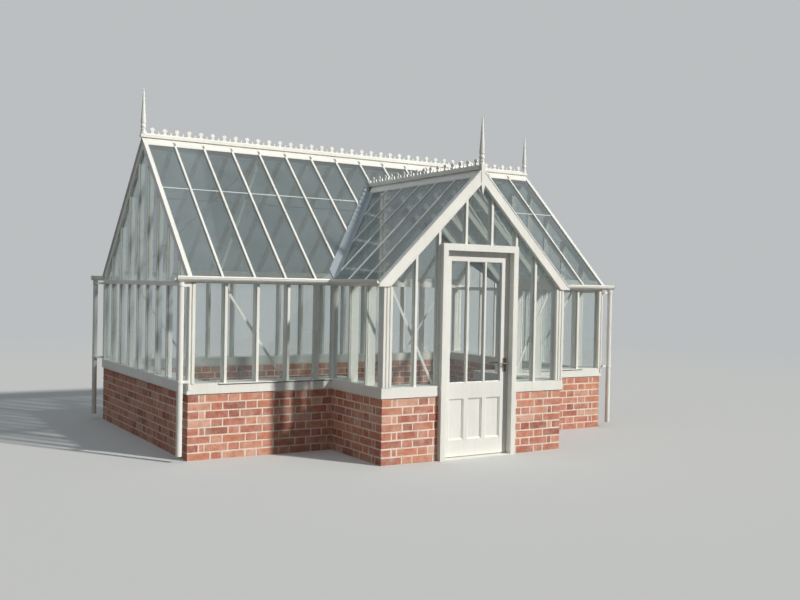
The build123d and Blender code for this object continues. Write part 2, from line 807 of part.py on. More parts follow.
# Door frame: two rebated posts, a head and a threshold
frame_y0 = porch_front - frame_proud
leaf_y0 = frame_y0 + door_recess
leaf_y1 = leaf_y0 + leaf_thick
stop_y = leaf_y0 - door_rest_gap
clear_half = frame_edge - frame_face
rebate_half = clear_half + door_stop
head_low = frame_height - head_face
door_post = upright(
    [
        (-frame_edge, frame_y0), (-clear_half, frame_y0), (-clear_half, stop_y),
        (-rebate_half, stop_y), (-rebate_half, leaf_y1), (-frame_edge, leaf_y1),
    ],
    0, head_low,
)
save("door_posts", both_ends([door_post]))
head = block(-frame_edge, frame_edge, frame_y0, leaf_y1, head_low, frame_height)
head -= block(-rebate_half, rebate_half, stop_y, leaf_y1, head_low, head_low + door_stop)
save("door_head", [head])
save("threshold", [block(-clear_half, clear_half, frame_y0, leaf_y1, 0, threshold_height)])

# Door leaf: stiles, rails, two glazing bars and two upright bars between the panels
leaf_half = rebate_half - door_gap
leaf_low = threshold_height + door_gap
leaf_top = head_low + door_stop - door_gap
light_half = leaf_half - stile_width
light_top = leaf_top - top_rail
panel_top = mid_rail_top - mid_rail
panel_low = leaf_low + bottom_rail


def divided(count, bar):
    """Left and right edges of the equal openings between a door's upright bars."""
    opening = (2 * light_half - bar * (count - 1)) / count
    lefts = [-light_half + index * (opening + bar) for index in range(count)]
    return [(left, left + opening) for left in lefts]


lights = divided(light_count, door_bar)
panel_places = divided(panel_count, muntin)
leaf = block(-leaf_half, leaf_half, leaf_y0, leaf_y1, leaf_low, leaf_top)
for edges in lights:
    leaf -= block(*edges, leaf_y0, leaf_y1, mid_rail_top, light_top)
for edges in panel_places:
    leaf -= block(*edges, leaf_y0, leaf_y1, panel_low, panel_top)
lever_x = leaf_half - lever_backset
spindle_line = Pos(lever_x, (leaf_y0 + leaf_y1) / 2, lever_height) * Rot(90, 0, 0)
spindle_bore = spindle_line * Cylinder(spindle_radius + running_fit, far)
save("door_leaf", [leaf - spindle_bore])
glazing_y = leaf_y0 + glazing_set
panes = [block(*edges, glazing_y, glazing_y + glass, mid_rail_top, light_top) for edges in lights]
save("door_glass", panes)
panel_y1 = glazing_y + panel_thick
panels = [block(*edges, glazing_y, panel_y1, panel_low, panel_top) for edges in panel_places]
save("door_panels", panels)

# Lever handle: plates on both faces, and levers on one spindle
plate_top = lever_height + plate_above
plates = []
for y in (leaf_y0 - plate_thick, leaf_y1):
    plate = block(
        lever_x - plate_width / 2, lever_x + plate_width / 2, y, y + plate_thick,
        plate_top - plate_height, plate_top,
    )
    plates.append(plate - spindle_bore)
save("handle_plates", plates)
lever_y0 = leaf_y0 - lever_reach
lever_y1 = leaf_y1 + lever_reach
lever = spindle_line * Cylinder(spindle_radius, lever_y1 - lever_y0)
for y, face, outer in (
    (lever_y0, leaf_y0 - plate_thick - hub_gap, lever_y0 - hub_end),
    (lever_y1, leaf_y1 + plate_thick + hub_gap, lever_y1 + hub_end),
):
    hub = Cylinder(hub_radius, abs(face - outer))
    lever += Pos(lever_x, (outer + face) / 2, lever_height) * Rot(90, 0, 0) * hub
    grip = Cylinder(lever_radius, lever_length)
    lever += Pos(lever_x - lever_length / 2, y, lever_height) * Rot(0, 90, 0) * grip
save("door_lever", [lever])

# Hinges: a pin and lower knuckle on the frame, an upper knuckle on the leaf
hinge_x = -(rebate_half + leaf_half) / 2
hinge_y = leaf_y1 + hinge_radius + hub_gap
wing_y1 = leaf_y1 + hinge_plate_thick
hinge_line = Pos(hinge_x, hinge_y, 0)
hinge_bore = hinge_line * Cylinder(hinge_pin_radius + running_fit, far)
frame_hinges = []
leaf_hinges = []
for z in hinge_heights:
    low = z - hinge_knuckle - hinge_gap / 2
    high = z + hinge_gap / 2
    low_top = low + hinge_knuckle
    high_top = high + hinge_knuckle
    knuckle = hinge_line * Pos(0, 0, low + hinge_knuckle / 2) * Cylinder(hinge_radius, hinge_knuckle)
    pin = hinge_line * Pos(0, 0, low_top) * Cylinder(hinge_pin_radius, 2 * hinge_knuckle)
    wing = block(hinge_x - hinge_plate_width, hinge_x, leaf_y1, wing_y1, low, low_top)
    frame_hinges.append(knuckle + wing + pin)
    upper = hinge_line * Pos(0, 0, high + hinge_knuckle / 2) * Cylinder(hinge_radius, hinge_knuckle)
    leaf_wing = block(hinge_x, hinge_x + hinge_plate_width, leaf_y1, wing_y1, high, high_top)
    leaf_hinges.append(upper + leaf_wing - hinge_bore)
save("frame_hinges", frame_hinges)
save("door_hinges", leaf_hinges)
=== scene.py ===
import math

import bmesh
import bpy
from mathutils import Matrix, Vector


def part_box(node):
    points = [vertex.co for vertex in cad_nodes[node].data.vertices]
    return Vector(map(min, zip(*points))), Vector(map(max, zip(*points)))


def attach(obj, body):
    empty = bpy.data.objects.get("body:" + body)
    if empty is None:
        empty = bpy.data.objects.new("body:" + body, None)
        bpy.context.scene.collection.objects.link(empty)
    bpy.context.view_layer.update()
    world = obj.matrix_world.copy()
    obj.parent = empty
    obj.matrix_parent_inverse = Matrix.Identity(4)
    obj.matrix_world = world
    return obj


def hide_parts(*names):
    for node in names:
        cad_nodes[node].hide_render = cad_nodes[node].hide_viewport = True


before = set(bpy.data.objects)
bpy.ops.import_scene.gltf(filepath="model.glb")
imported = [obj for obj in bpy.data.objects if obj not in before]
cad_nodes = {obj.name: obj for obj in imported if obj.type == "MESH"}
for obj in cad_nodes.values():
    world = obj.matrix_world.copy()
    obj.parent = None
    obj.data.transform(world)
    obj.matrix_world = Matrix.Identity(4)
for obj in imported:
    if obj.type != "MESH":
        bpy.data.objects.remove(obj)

scene = bpy.context.scene
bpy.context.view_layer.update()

# Camera
# Stands to the left of the porch, at eye height, turned towards the door. The lens and
# the turn are those that put the building's edges where the photograph has them.
image_width = 800
focal_pixels = 934.38
sensor_width = 36.0
camera_place = Vector((-5.2746, -9.1054, 1.5995))
yaw, pitch, roll = 0.55317, -0.01404, 0.01902
forward = Vector((math.sin(yaw) * math.cos(pitch), math.cos(yaw) * math.cos(pitch), math.sin(pitch)))
level = Vector((math.cos(yaw), -math.sin(yaw), 0))
upward = level.cross(forward)
across = level * math.cos(roll) + upward * math.sin(roll)
above = upward * math.cos(roll) - level * math.sin(roll)
camera_data = bpy.data.cameras.new("camera")
camera_data.sensor_width = sensor_width
camera_data.lens = focal_pixels / image_width * sensor_width
camera = bpy.data.objects.new("camera", camera_data)
turn = Matrix((across, above, -forward)).transposed()
camera.matrix_world = Matrix.Translation(camera_place) @ turn.to_4x4()
scene.collection.objects.link(camera)
scene.camera = camera
scene.view_settings.view_transform = "Standard"

# Light and backdrop
# A plain pale studio: a soft sun from the front right, as high as in the photograph, an
# even sky that is brighter overhead, and a floor that melts into the backdrop far away.
backdrop = (0.50, 0.52, 0.53, 1)
sky_light = (0.92, 0.97, 1.0, 1)
sky_strength = 0.17
sunlight = (1.0, 0.975, 0.92)
sun_strength = 3.45
sun_spread = math.radians(3)
sun_azimuth = math.radians(33)
sun_height = math.radians(30)
overhead_light = (0.86, 0.94, 1.0)
overhead_strength = 0.5
overhead_spread = math.radians(70)
towards_overhead = Vector((-0.25, 0, 1))
floor_shown = (0.63, 0.635, 0.635, 1)
floor_bounce = (0.17, 0.175, 0.175, 1)
floor_radius = 60.0
floor_sides = 64
floor_clear = 7.0
floor_lost = 22.0


def add(tree, kind, inputs=None, **settings):
    """A node of a tree with its settings, its inputs set to values or linked to sockets."""
    made = tree.nodes.new(kind)
    for name, value in settings.items():
        setattr(made, name, value)
    for key, value in (inputs or {}).items():
        if isinstance(value, bpy.types.NodeSocket):
            tree.links.new(value, made.inputs[key])
        else:
            made.inputs[key].default_value = value
    return made


def seen_only(tree):
    """1 for what the eye, a gloss or a pane sees, 0 for what only lights the object."""
    path = add(tree, "ShaderNodeLightPath")
    seen = add(tree, "ShaderNodeMath", {
        0: path.outputs["Is Camera Ray"], 1: path.outputs["Is Glossy Ray"],
    }, operation="MAXIMUM")
    return add(tree, "ShaderNodeMath", {
        0: seen.outputs[0], 1: path.outputs["Is Transmission Ray"],
    }, operation="MAXIMUM").outputs[0]


def sun_lamp(name, colour, strength, spread, towards):
    """A far lamp that shines from a direction."""
    lamp_data = bpy.data.lights.new(name, "SUN")
    lamp_data.energy = strength
    lamp_data.angle = spread
    lamp_data.color = colour
    lamp = bpy.data.objects.new(name, lamp_data)
    lamp.rotation_euler = towards.to_track_quat("Z", "Y").to_euler()
    scene.collection.objects.link(lamp)


world = bpy.data.worlds.new("studio")
world.use_nodes = True
scene.world = world
sky = world.node_tree
sky.nodes.clear()
lit = add(sky, "ShaderNodeBackground", {"Color": sky_light, "Strength": sky_strength})
shown = add(sky, "ShaderNodeBackground", {"Color": backdrop, "Strength": 1.0})
both = add(sky, "ShaderNodeMixShader", {0: seen_only(sky), 1: lit.outputs[0], 2: shown.outputs[0]})
add(sky, "ShaderNodeOutputWorld", {"Surface": both.outputs[0]})
towards_sun = Vector((
    math.sin(sun_azimuth) * math.cos(sun_height),
    -math.cos(sun_azimuth) * math.cos(sun_height),
    math.sin(sun_height),
))
sun_lamp("sun", sunlight, sun_strength, sun_spread, towards_sun)
sun_lamp("overhead", overhead_light, overhead_strength, overhead_spread, towards_overhead)


def finish_tree(name):
    """A new material, its empty node tree and its output node."""
    material = bpy.data.materials.new(name)
    material.use_nodes = True
    tree = material.node_tree
    tree.nodes.clear()
    return material, tree, tree.nodes.new("ShaderNodeOutputMaterial")


floor_finish, tree, output = finish_tree("studio_floor")
place = add(tree, "ShaderNodeTexCoord").outputs["Object"]
reach = add(tree, "ShaderNodeVectorMath", {0: place}, operation="LENGTH").outputs["Value"]
fade = add(tree, "ShaderNodeMapRange", {
    "Value": reach, "From Min": floor_clear, "From Max": floor_lost,
}, interpolation_type="SMOOTHSTEP").outputs["Result"]
seen = seen_only(tree)
fade = add(tree, "ShaderNodeMath", {0: fade, 1: seen}, operation="MULTIPLY").outputs[0]
tone = add(tree, "ShaderNodeMix", {
    0: seen, 6: floor_bounce, 7: floor_shown,
}, data_type="RGBA").outputs[2]
matt = add(tree, "ShaderNodeBsdfDiffuse", {"Color": tone})
lost = add(tree, "ShaderNodeEmission", {"Color": backdrop, "Strength": 1.0})
mixed = add(tree, "ShaderNodeMixShader", {0: fade, 1: matt.outputs[0], 2: lost.outputs[0]})
tree.links.new(mixed.outputs[0], output.inputs["Surface"])
shape = bmesh.new()
bmesh.ops.create_circle(shape, cap_ends=True, segments=floor_sides, radius=floor_radius)
floor_mesh = bpy.data.meshes.new("studio_floor")
shape.to_mesh(floor_mesh)
shape.free()
floor_mesh.materials.append(floor_finish)
floor = bpy.data.objects.new("studio_floor", floor_mesh)
scene.collection.objects.link(floor)

# Brick base
# Old-looking stock bricks in Flemish bond, one brick thick and eight courses high,
# laid in pale lime mortar that stands a little back from the bricks' faces.
brick_long, brick_head, brick_high = 0.215, 0.1025, 0.065
brick_deep = brick_head
joint = 0.010
course_rise = brick_high + joint
repeat = brick_long + brick_head + 2 * joint
mortar_back = 0.002
least_cut = 0.025
brick_bevel = 0.0035
brick_jitter = (0.0012, 0.0012, 0.0)
brick_seed = 11
clay_tones = (
    (0.00, (0.36, 0.125, 0.090)), (0.12, (0.47, 0.165, 0.115)), (0.36, (0.56, 0.215, 0.145)),
    (0.60, (0.61, 0.245, 0.155)), (0.80, (0.66, 0.300, 0.200)), (0.94, (0.70, 0.400, 0.300)),
)
mottle_tones = ((0.30, (0.52, 0.48, 0.48)), (0.52, (0.97, 0.95, 0.93)), (0.72, (1.20, 1.20, 1.15)))
mottle_share = 0.55
bloom_colour, bloom_most = (0.75, 0.55, 0.45, 1), 0.45
lime_tones = ((0.30, (0.66, 0.52, 0.43)), (0.50, (0.82, 0.69, 0.59)), (0.70, (0.90, 0.80, 0.71)))
back_low, back_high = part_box("back_wall")
house_low, house_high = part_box("front_walls")
porch_low, porch_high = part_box("porch_walls")
wall_thick = back_high.y - back_low.y
courses = round(back_high.z / course_rise)
frame_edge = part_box("door_posts")[1].x


def made_object(name, mesh, body):
    """Puts a finished mesh in the scene as a piece that rides on a body."""
    piece = bpy.data.objects.new(name, mesh)
    scene.collection.objects.link(piece)
    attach(piece, body)
    return piece


def grown(name, start, tree, values, bevel=0.0):
    """A plain mesh of what a geometry tree makes from a starting mesh."""
    carrier = bpy.data.objects.new(name, start)
    scene.collection.objects.link(carrier)
    grower = carrier.modifiers.new("grow", "NODES")
    grower.node_group = tree
    for socket in tree.interface.items_tree:
        if socket.item_type == "SOCKET" and socket.in_out == "INPUT" and socket.name in values:
            grower[socket.identifier] = values[socket.name]
    if bevel:
        edge = carrier.modifiers.new("edge", "BEVEL")
        edge.width = bevel
        edge.segments = 1
        edge.limit_method = "ANGLE"
    ready = bpy.context.evaluated_depsgraph_get()
    mesh = bpy.data.meshes.new_from_object(
        carrier.evaluated_get(ready), preserve_all_data_layers=True, depsgraph=ready,
    )
    carrier.modifiers.clear()
    bpy.data.objects.remove(carrier)
    return mesh


def geometry_tree(name, inputs):
    """A geometry tree with named inputs, its input node, and the socket its result goes to."""
    tree = bpy.data.node_groups.new(name, "GeometryNodeTree")
    tree.interface.new_socket(name="Geometry", in_out="INPUT", socket_type="NodeSocketGeometry")
    for label, kind in inputs.items():
        tree.interface.new_socket(name=label, in_out="INPUT", socket_type=f"NodeSocket{kind}")
    tree.interface.new_socket(name="Geometry", in_out="OUTPUT", socket_type="NodeSocketGeometry")
    given = tree.nodes.new("NodeGroupInput").outputs
    result = tree.nodes.new("NodeGroupOutput").inputs["Geometry"]
    return tree, given, result


def real_and_clad(tree, pieces, material, result):
    """Ends a geometry tree: makes its instances real and gives them their material."""
    whole = add(tree, "GeometryNodeRealizeInstances", {"Geometry": pieces})
    clad = add(tree, "GeometryNodeSetMaterial", {"Geometry": whole.outputs[0], "Material": material})
    tree.links.new(clad.outputs[0], result)


def course_spans(run, shifted, left_corner, right_corner):
    """Start and end of each brick of one course, on a face of that run between two ends."""
    count = max(1, round((run - brick_long) / repeat))
    stretch = run / (count * repeat + brick_long) if left_corner and right_corner else 1.0
    spans = []
    for step in range(-1, count + 2):
        at = step * repeat
        if shifted:
            spans.append((at + repeat / 2, at + repeat / 2 + brick_long))
            at_corner = (step == 0 and left_corner) or (step == count and right_corner)
            if not at_corner:
                header = at + (brick_long - brick_head) / 2
                spans.append((header, header + brick_head))
        else:
            spans.append((at, at + brick_long))
            spans.append((at + brick_long + joint, at + brick_long + joint + brick_head))
    if shifted and left_corner:
        spans.append((brick_head + joint, repeat / 2 - joint))
    if shifted and left_corner and right_corner:
        far_end = count * repeat + brick_long
        spans.append((far_end - repeat / 2 + joint, far_end - brick_head - joint))
    start_limit = brick_head + joint if shifted and left_corner else 0.0
    stop_limit = run - start_limit if shifted and left_corner and right_corner else run
    cut = [(max(a * stretch, start_limit), min(b * stretch, stop_limit)) for a, b in spans]
    return [(a, b) for a, b in cut if b - a > least_cut]


centres = []
sizes = []


def lay_face(corner, along, inward, run, first_shifted, left_corner=True, right_corner=True):
    """Lays every course of one face of a wall, from its corner along its length."""
    for course in range(courses):
        shifted = (course + first_shifted) % 2 == 1
        for start, stop in course_spans(run, shifted, left_corner, right_corner):
            middle = corner + along * ((start + stop) / 2) + inward * (brick_deep / 2)
            middle.z = course * course_rise + brick_high / 2
            centres.append(middle)
            size = along * (stop - start) + inward * brick_deep
            sizes.append((abs(size.x), abs(size.y), brick_high))


right, left = Vector((1, 0, 0)), Vector((-1, 0, 0))
away, near = Vector((0, 1, 0)), Vector((0, -1, 0))
house_wide = house_high.x - house_low.x
house_deep = back_high.y - house_low.y
beside_porch = house_high.x - porch_high.x
porch_deep = house_low.y - porch_low.y
beside_door = porch_high.x - frame_edge
for side, inward in ((-1, right), (1, left)):
    outer = Vector((side * house_high.x, house_low.y, 0))
    lay_face(outer, inward, away, beside_porch, 0, True, False)
    lay_face(outer, away, inward, house_deep, 1)
    porch_outer = Vector((side * porch_high.x, porch_low.y, 0))
    lay_face(porch_outer, away, inward, porch_deep, 1, True, False)
    lay_face(porch_outer, inward, away, beside_door, 0, True, False)
    inner = Vector((side * (house_high.x - wall_thick), house_low.y + wall_thick, 0))
    lay_face(inner, away, -inward, house_deep - 2 * wall_thick, 0, False, False)
    lay_face(inner, inward, near, beside_porch, 1, False, False)
    porch_inner = Vector((side * (porch_high.x - wall_thick), porch_low.y + wall_thick, 0))
    lay_face(porch_inner, away, -inward, porch_deep, 0, False, False)
    lay_face(porch_inner, inward, near, porch_high.x - wall_thick - frame_edge, 1, False, False)
back_outer = Vector((back_low.x, back_high.y, 0))
lay_face(back_outer, right, near, house_wide, 0)
back_inner = Vector((back_low.x + wall_thick, back_low.y, 0))
lay_face(back_inner, right, away, house_wide - 2 * wall_thick, 1, False, False)

brick_points = bpy.data.meshes.new("brick_points")
brick_points.from_pydata([tuple(centre) for centre in centres], [], [])
brick_sizes = brick_points.attributes.new("brick_size", "FLOAT_VECTOR", "POINT")
brick_sizes.data.foreach_set("vector", [value for size in sizes for value in size])

lay_bricks, given, result = geometry_tree("lay_bricks", {
    "Jitter": "Vector", "Seed": "Int", "Clay": "Material",
})
spread = add(lay_bricks, "FunctionNodeRandomValue", {
    0: (-1, -1, -1), 1: (1, 1, 1), "Seed": given["Seed"],
}, data_type="FLOAT_VECTOR")
nudge = add(lay_bricks, "ShaderNodeVectorMath", {
    0: spread.outputs[0], 1: given["Jitter"],
}, operation="MULTIPLY")
nudged = add(lay_bricks, "GeometryNodeSetPosition", {
    "Geometry": given["Geometry"], "Offset": nudge.outputs[0],
})
own_size = add(lay_bricks, "GeometryNodeInputNamedAttribute", {
    "Name": "brick_size",
}, data_type="FLOAT_VECTOR")
brick = add(lay_bricks, "GeometryNodeMeshCube", {"Size": (1, 1, 1)})
laid = add(lay_bricks, "GeometryNodeInstanceOnPoints", {
    "Points": nudged.outputs[0], "Instance": brick.outputs["Mesh"], "Scale": own_size.outputs[0],
})
tone = add(lay_bricks, "FunctionNodeRandomValue", {"Seed": given["Seed"]}, data_type="FLOAT")
toned = add(lay_bricks, "GeometryNodeStoreNamedAttribute", {
    "Geometry": laid.outputs[0], "Name": "brick_tone", "Value": tone.outputs[1],
}, data_type="FLOAT", domain="INSTANCE")
real_and_clad(lay_bricks, toned.outputs[0], given["Clay"], result)


def ramp(tree, value, stops):
    """A colour ramp through given colours at given places."""
    made = add(tree, "ShaderNodeValToRGB", {"Fac": value})
    elements = made.color_ramp.elements
    while len(elements) < len(stops):
        elements.new(0.5)
    for element, (at, colour) in zip(elements, stops):
        element.position = at
        element.color = (*colour, 1)
    return made.outputs["Color"]


def blend_colour(tree, share, under, over, mode="MIX"):
    """Two colours mixed by a share."""
    made = add(tree, "ShaderNodeMix", {0: share, 6: under, 7: over}, data_type="RGBA", blend_type=mode)
    return made.outputs[2]


clay, tree, output = finish_tree("fired_clay")
place = add(tree, "ShaderNodeTexCoord").outputs["Object"]
own_tone = add(tree, "ShaderNodeAttribute", attribute_name="brick_tone").outputs["Fac"]
clay_colour = ramp(tree, own_tone, clay_tones)
mottle = add(tree, "ShaderNodeTexNoise", {
    "Vector": place, "Scale": 22.0, "Detail": 6.0, "Roughness": 0.62,
})
mottled = ramp(tree, mottle.outputs["Fac"], mottle_tones)
clay_colour = blend_colour(tree, mottle_share, clay_colour, mottled, "MULTIPLY")
bloom = add(tree, "ShaderNodeTexNoise", {"Vector": place, "Scale": 9.0, "Detail": 5.0, "Roughness": 0.7})
bloom_share = add(tree, "ShaderNodeMapRange", {
    "Value": bloom.outputs["Fac"], "From Min": 0.44, "From Max": 0.70, "To Max": bloom_most,
}).outputs["Result"]
clay_colour = blend_colour(tree, bloom_share, clay_colour, bloom_colour)
pores = add(tree, "ShaderNodeTexNoise", {"Vector": place, "Scale": 260.0, "Detail": 3.0})
height = add(tree, "ShaderNodeMath", {
    0: mottle.outputs["Fac"], 1: pores.outputs["Fac"],
}, operation="ADD")
bump = add(tree, "ShaderNodeBump", {"Height": height.outputs[0], "Strength": 0.75, "Distance": 0.0025})
roughness = add(tree, "ShaderNodeMapRange", {
    "Value": pores.outputs["Fac"], "To Min": 0.78, "To Max": 0.98,
}).outputs["Result"]
fired = add(tree, "ShaderNodeBsdfPrincipled", {
    "Base Color": clay_colour, "Roughness": roughness, "Normal": bump.outputs["Normal"],
})
tree.links.new(fired.outputs[0], output.inputs["Surface"])
brick_mesh = grown("brick_courses", brick_points, lay_bricks, {
    "Jitter": brick_jitter, "Seed": brick_seed, "Clay": clay,
}, brick_bevel)
bricks = made_object("brick_courses", brick_mesh, "house")
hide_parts("back_wall", "end_walls", "front_walls", "porch_walls")

lime, tree, output = finish_tree("lime_mortar")
place = add(tree, "ShaderNodeTexCoord").outputs["Object"]
sand = add(tree, "ShaderNodeTexNoise", {"Vector": place, "Scale": 14.0, "Detail": 8.0, "Roughness": 0.7})
grit = add(tree, "ShaderNodeTexNoise", {"Vector": place, "Scale": 420.0, "Detail": 3.0})
lime_colour = ramp(tree, sand.outputs["Fac"], lime_tones)
bump = add(tree, "ShaderNodeBump", {"Height": grit.outputs["Fac"], "Strength": 0.8, "Distance": 0.0015})
bed = add(tree, "ShaderNodeBsdfPrincipled", {
    "Base Color": lime_colour, "Roughness": 0.95, "Normal": bump.outputs["Normal"],
})
tree.links.new(bed.outputs[0], output.inputs["Surface"])


def wall_ring(inset):
    """The walls' outline on the right, from the door to the back, set in from the bricks' faces."""
    return [
        (frame_edge, porch_low.y + inset), (porch_high.x - inset, porch_low.y + inset),
        (porch_high.x - inset, house_low.y + inset), (house_high.x - inset, house_low.y + inset),
        (house_high.x - inset, back_high.y - inset),
    ]


outer_ring = wall_ring(mortar_back)
inner_ring = wall_ring(wall_thick - mortar_back)
outline = outer_ring + [(-x, y) for x, y in reversed(outer_ring)]
outline += [(-x, y) for x, y in inner_ring] + inner_ring[::-1]
shape = bmesh.new()
bed_foot = [shape.verts.new((x, y, 0)) for x, y in outline]
bed_head = [shape.verts.new((x, y, back_high.z)) for x, y in outline]
for step in range(len(outline)):
    shape.faces.new((bed_foot[step - 1], bed_foot[step], bed_head[step], bed_head[step - 1]))
shape.faces.new(bed_foot)
shape.faces.new(bed_head)
shape.normal_update()
bmesh.ops.triangulate(shape, faces=shape.faces[:])
bmesh.ops.recalc_face_normals(shape, faces=shape.faces)
mortar_mesh = bpy.data.meshes.new("mortar_beds")
shape.to_mesh(mortar_mesh)
shape.free()
mortar_mesh.materials.append(lime)
mortar = made_object("mortar_beds", mortar_mesh, "house")
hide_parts("back_wall", "end_walls", "front_walls", "porch_walls")

# White frame
# Sills, posts, bars, beams and rafters are aluminium sections with a satin cream powder
# coat, screwed together. The coat has a slight tone change, dust and rain streaks.
coat_tones = ((0.32, (0.93, 0.93, 0.92)), (0.66, (1.03, 1.03, 1.03)))
streak_stretch = (34.0, 34.0, 2.2)
fine_rough, grime_rough = 0.10, 0.5
coat_wear = bpy.data.node_groups.new("coat_wear", "ShaderNodeTree")
for label, kind in (("Coat", "Color"), ("Grime", "Color"), ("Grime Share", "Float"), ("Sheen", "Float")):
    coat_wear.interface.new_socket(name=label, in_out="INPUT", socket_type=f"NodeSocket{kind}")
for label, kind in (("Color", "Color"), ("Roughness", "Float"), ("Normal", "Vector")):
    coat_wear.interface.new_socket(name=label, in_out="OUTPUT", socket_type=f"NodeSocket{kind}")
given = coat_wear.nodes.new("NodeGroupInput").outputs
worn = coat_wear.nodes.new("NodeGroupOutput").inputs
place = add(coat_wear, "ShaderNodeTexCoord").outputs["Object"]
soft = add(coat_wear, "ShaderNodeTexNoise", {
    "Vector": place, "Scale": 2.3, "Detail": 5.0, "Roughness": 0.6,
})
tone = ramp(coat_wear, soft.outputs["Fac"], coat_tones)
colour = blend_colour(coat_wear, 1.0, given["Coat"], tone, "MULTIPLY")
stretched = add(coat_wear, "ShaderNodeMapping", {"Vector": place, "Scale": streak_stretch}).outputs[0]
rain = add(coat_wear, "ShaderNodeTexNoise", {
    "Vector": stretched, "Scale": 1.0, "Detail": 5.0, "Roughness": 0.65,
})
streak = add(coat_wear, "ShaderNodeMapRange", {
    "Value": rain.outputs["Fac"], "From Min": 0.50, "From Max": 0.80,
}).outputs["Result"]
share = add(coat_wear, "ShaderNodeMath", {
    0: streak, 1: given["Grime Share"],
}, operation="MULTIPLY").outputs[0]
colour = blend_colour(coat_wear, share, colour, given["Grime"])
coat_wear.links.new(colour, worn["Color"])
fine = add(coat_wear, "ShaderNodeTexNoise", {"Vector": place, "Scale": 380.0, "Detail": 2.0})
rough = add(coat_wear, "ShaderNodeMath", {
    0: fine.outputs["Fac"], 1: fine_rough, 2: given["Sheen"],
}, operation="MULTIPLY_ADD").outputs[0]
rough = add(coat_wear, "ShaderNodeMath", {
    0: share, 1: grime_rough, 2: rough,
}, operation="MULTIPLY_ADD").outputs[0]
coat_wear.links.new(rough, worn["Roughness"])
peel = add(coat_wear, "ShaderNodeBump", {
    "Height": fine.outputs["Fac"], "Strength": 0.12, "Distance": 0.0006,
})
coat_wear.links.new(peel.outputs["Normal"], worn["Normal"])


def coated(name, coat, grime, grime_share, sheen):
    """A coated metal finish."""
    material, tree, output = finish_tree(name)
    wear = add(tree, "ShaderNodeGroup", node_tree=coat_wear)
    for label, value in zip(("Coat", "Grime", "Grime Share", "Sheen"), (coat, grime, grime_share, sheen)):
        wear.inputs[label].default_value = value
    body = add(tree, "ShaderNodeBsdfPrincipled", {
        "Base Color": wear.outputs["Color"], "Roughness": wear.outputs["Roughness"],
        "Normal": wear.outputs["Normal"],
    })
    tree.links.new(body.outputs[0], output.inputs["Surface"])
    return material


def finish(names, material):
    """Gives CAD nodes their finish."""
    for name in names:
        cad_nodes[name].material_slots[0].material = material


white_coat = coated(
    "cream_coat", coat=(0.86, 0.85, 0.805, 1), grime=(0.44, 0.42, 0.36, 1), grime_share=0.20, sheen=0.30,
)
finish((
    "house_sills", "porch_sills", "posts", "front_wall_bars", "back_wall_bars", "eaves_beams",
    "porch_eaves_beams", "end_transoms", "end_wall_bars", "porch_wall_bars", "front_roof_bars",
    "back_roof_bars", "end_rafters", "porch_roof_bars", "ridge", "porch_ridge", "barge_boards",
    "downpipes", "wind_braces", "door_posts", "door_head", "threshold",
), white_coat)

# Cover strips
# Snap-on aluminium covers over the corner posts' joints, the outer ones lapping over the sill's
# face, and a drip rail along the sills under the long walls' glass, with a black rubber seal under
# it whose dark strip also serves as a painted shadow line under the rail.
cover_rise = 0.016
cover_eased = 0.004
cover_lap = 0.055
outer_cover, inner_cover, cover_gap = 0.022, 0.030, 0.008
porch_covers = 3
porch_cover, porch_cover_gap, porch_cover_rise = 0.027, 0.007, 0.010
rail_out, rail_high, rail_lead = 0.014, 0.009, 0.055
seal_and_shade_out, seal_and_shade_high = 0.004, 0.008
frame_proud = 0.008
sharp_from = math.radians(38)
sill_low, sill_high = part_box("house_sills")
porch_sill_low, porch_sill_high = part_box("porch_sills")
bar_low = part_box("front_wall_bars")[0]
post_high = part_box("posts")[1]
eaves_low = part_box("eaves_beams")[0]
front_y, back_y = house_low.y - frame_proud, post_high.y
half_house, half_porch = post_high.x, porch_high.x + frame_proud
gable_y = porch_low.y - frame_proud
upright = Vector((0, 0, 1))


def moulded(shape, section, path, facing, closed=False):
    """Draws a section along a flat path, mitred at its corners, and closes its ends."""
    last = len(path) - 1
    rings = []
    for index, point in enumerate(path):
        runs = []
        if closed or index:
            runs.append((point - path[index - 1]).normalized())
        if closed or index < last:
            runs.append((path[(index + 1) % len(path)] - point).normalized())
        sides = [run.cross(facing) for run in runs]
        out = sides[0] if len(sides) == 1 else (sides[0] + sides[1]) / (1 + sides[0].dot(sides[1]))
        rings.append([shape.verts.new(point + out * beside + facing * up) for beside, up in section])
    pairs = list(zip(rings, rings[1:]))
    if closed:
        pairs.append((rings[-1], rings[0]))
    for ring, following in pairs:
        for step in range(len(section)):
            after = (step + 1) % len(section)
            shape.faces.new((ring[step], ring[after], following[after], following[step]))
    if not closed:
        shape.faces.new(rings[0])
        shape.faces.new(rings[-1][::-1])


def worked_mesh(name, shape, material):
    """A mesh of a worked shape, its faces outwards and its shallow edges smooth."""
    bmesh.ops.recalc_face_normals(shape, faces=shape.faces)
    mesh = bpy.data.meshes.new(name)
    shape.to_mesh(mesh)
    shape.free()
    mesh.materials.append(material)
    mesh.polygons.foreach_set("use_smooth", [True] * len(mesh.polygons))
    mesh.set_sharp_from_angle(angle=sharp_from)
    return mesh


def worked_piece(name, shape, material, body):
    """A worked shape in its material, as a piece that rides on a body."""
    return made_object(name, worked_mesh(name, shape, material), body)


def strip_section(width, rise, eased):
    """The section of a flat strip with eased outer edges, from its left foot."""
    return [
        (0, 0), (width, 0), (width, rise - eased),
        (width - eased, rise), (eased, rise), (0, rise - eased),
    ]


def cover(shape, x0, x1, wall_y, facing, low, rise):
    """A cover strip up a post's front or back face, between two sides."""
    start = x0 if facing.y < 0 else x1
    path = [Vector((start, wall_y, low)), Vector((start, wall_y, eaves_low.z))]
    moulded(shape, strip_section(x1 - x0, rise, cover_eased), path, facing)


